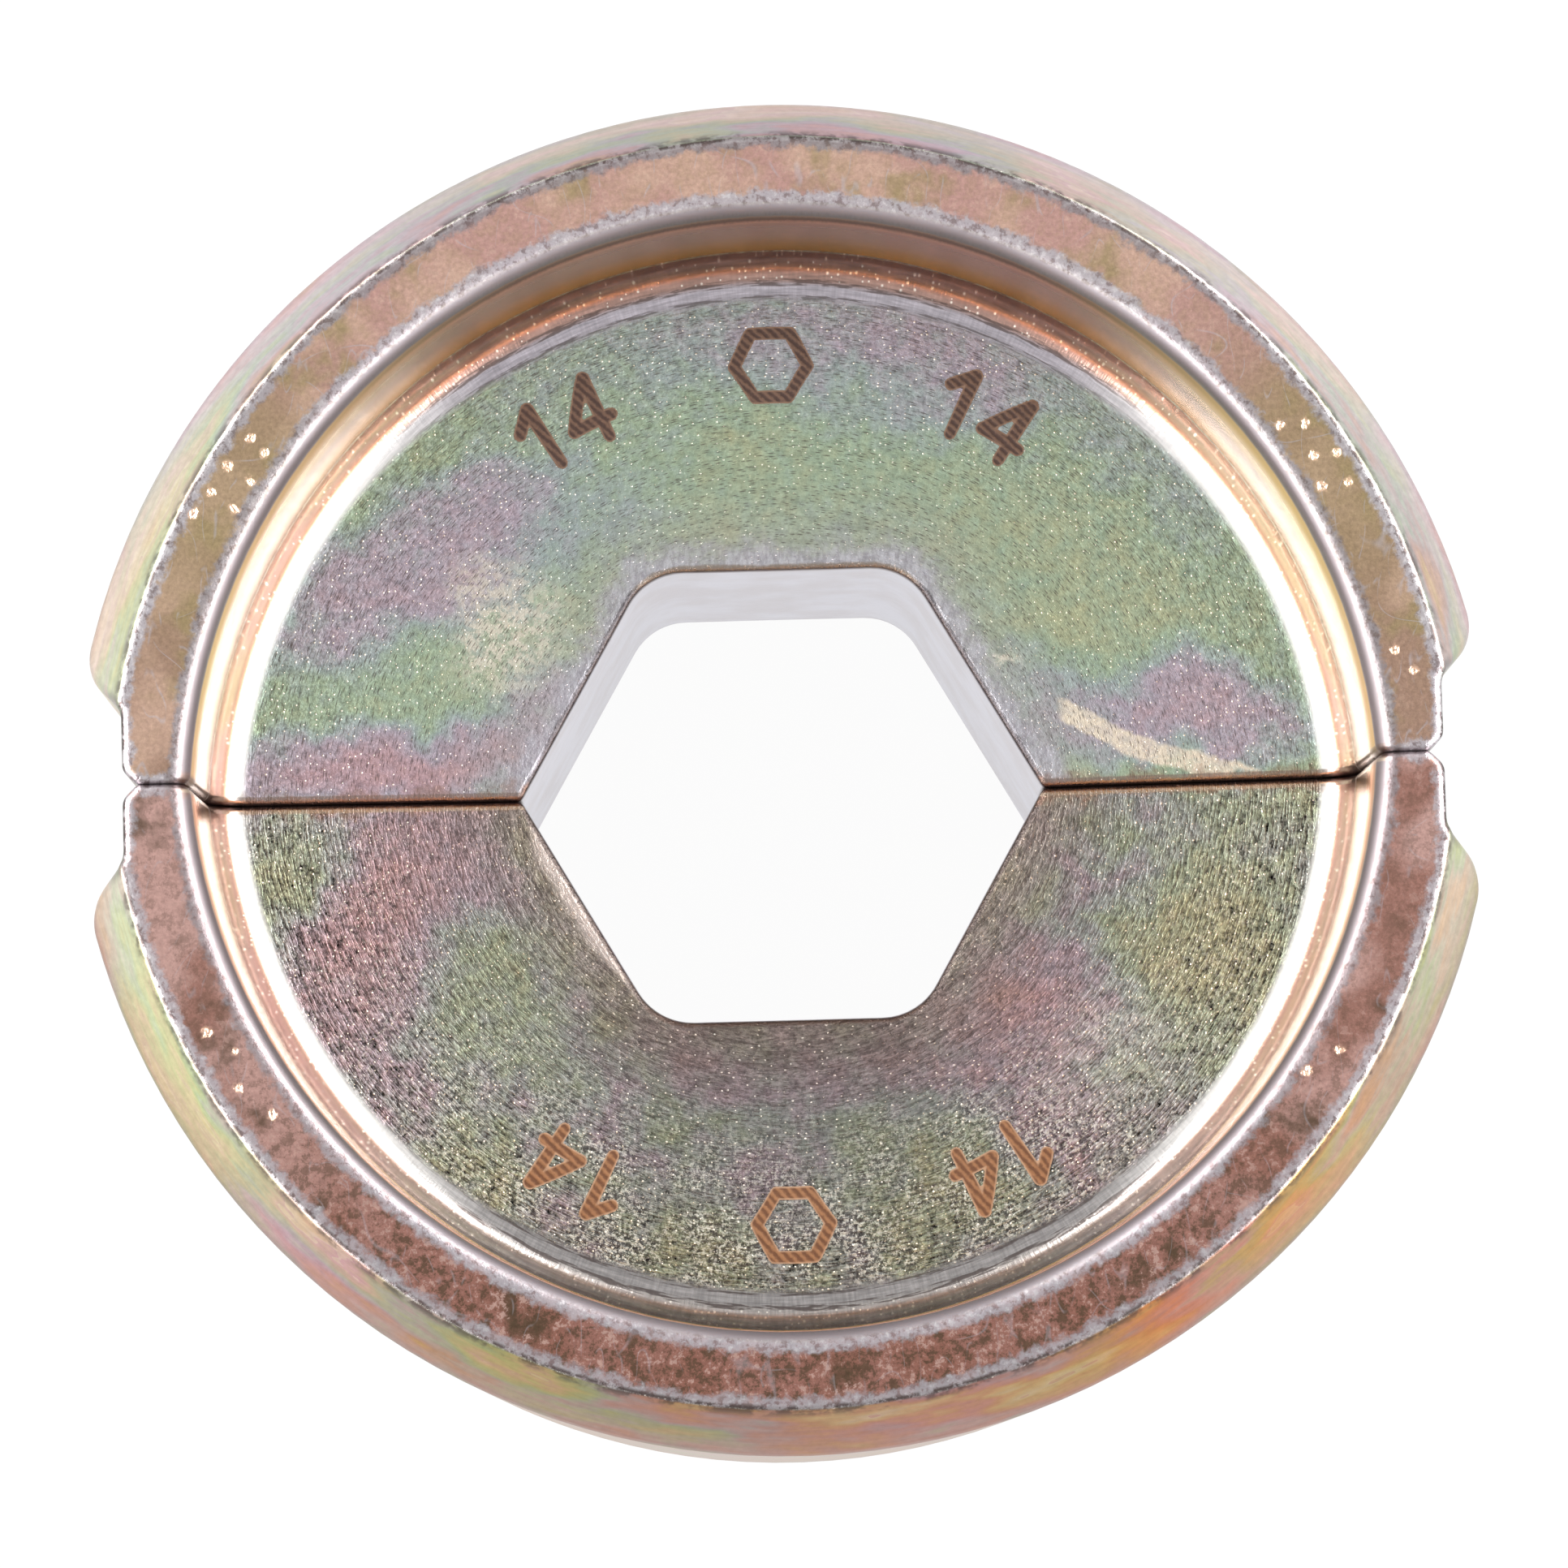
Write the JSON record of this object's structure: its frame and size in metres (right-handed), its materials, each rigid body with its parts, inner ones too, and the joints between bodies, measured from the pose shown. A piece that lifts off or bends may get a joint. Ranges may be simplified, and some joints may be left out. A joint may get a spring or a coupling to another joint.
{
  "type": "crimping die set",
  "caption": "Pair of half-round dies for a hydraulic press head, closed round a hexagonal crimping cavity, with a recess in each face and cut-backs beside the parting face.",
  "frame": {"origin": "middle of the hexagonal cavity, on the plane of the rim faces that the pair lies on", "axes": "+Z along the crimp axis, away from the surface it lies on; the two halves meet on the plane y = 0, +Y is the way the upper half opens and +X runs along the parting line"},
  "size_m": [0.0428, 0.0422, 0.03],
  "materials": {
    "plated_steel": "yellow passivated zinc plating on turned tool steel, iridescent pink, green and lavender, worn to bright steel along the edges"
  },
  "bodies": {
    "root": {"upper_die": "plated_steel", "lower_die": "plated_steel"}
  },
  "joints": []
}
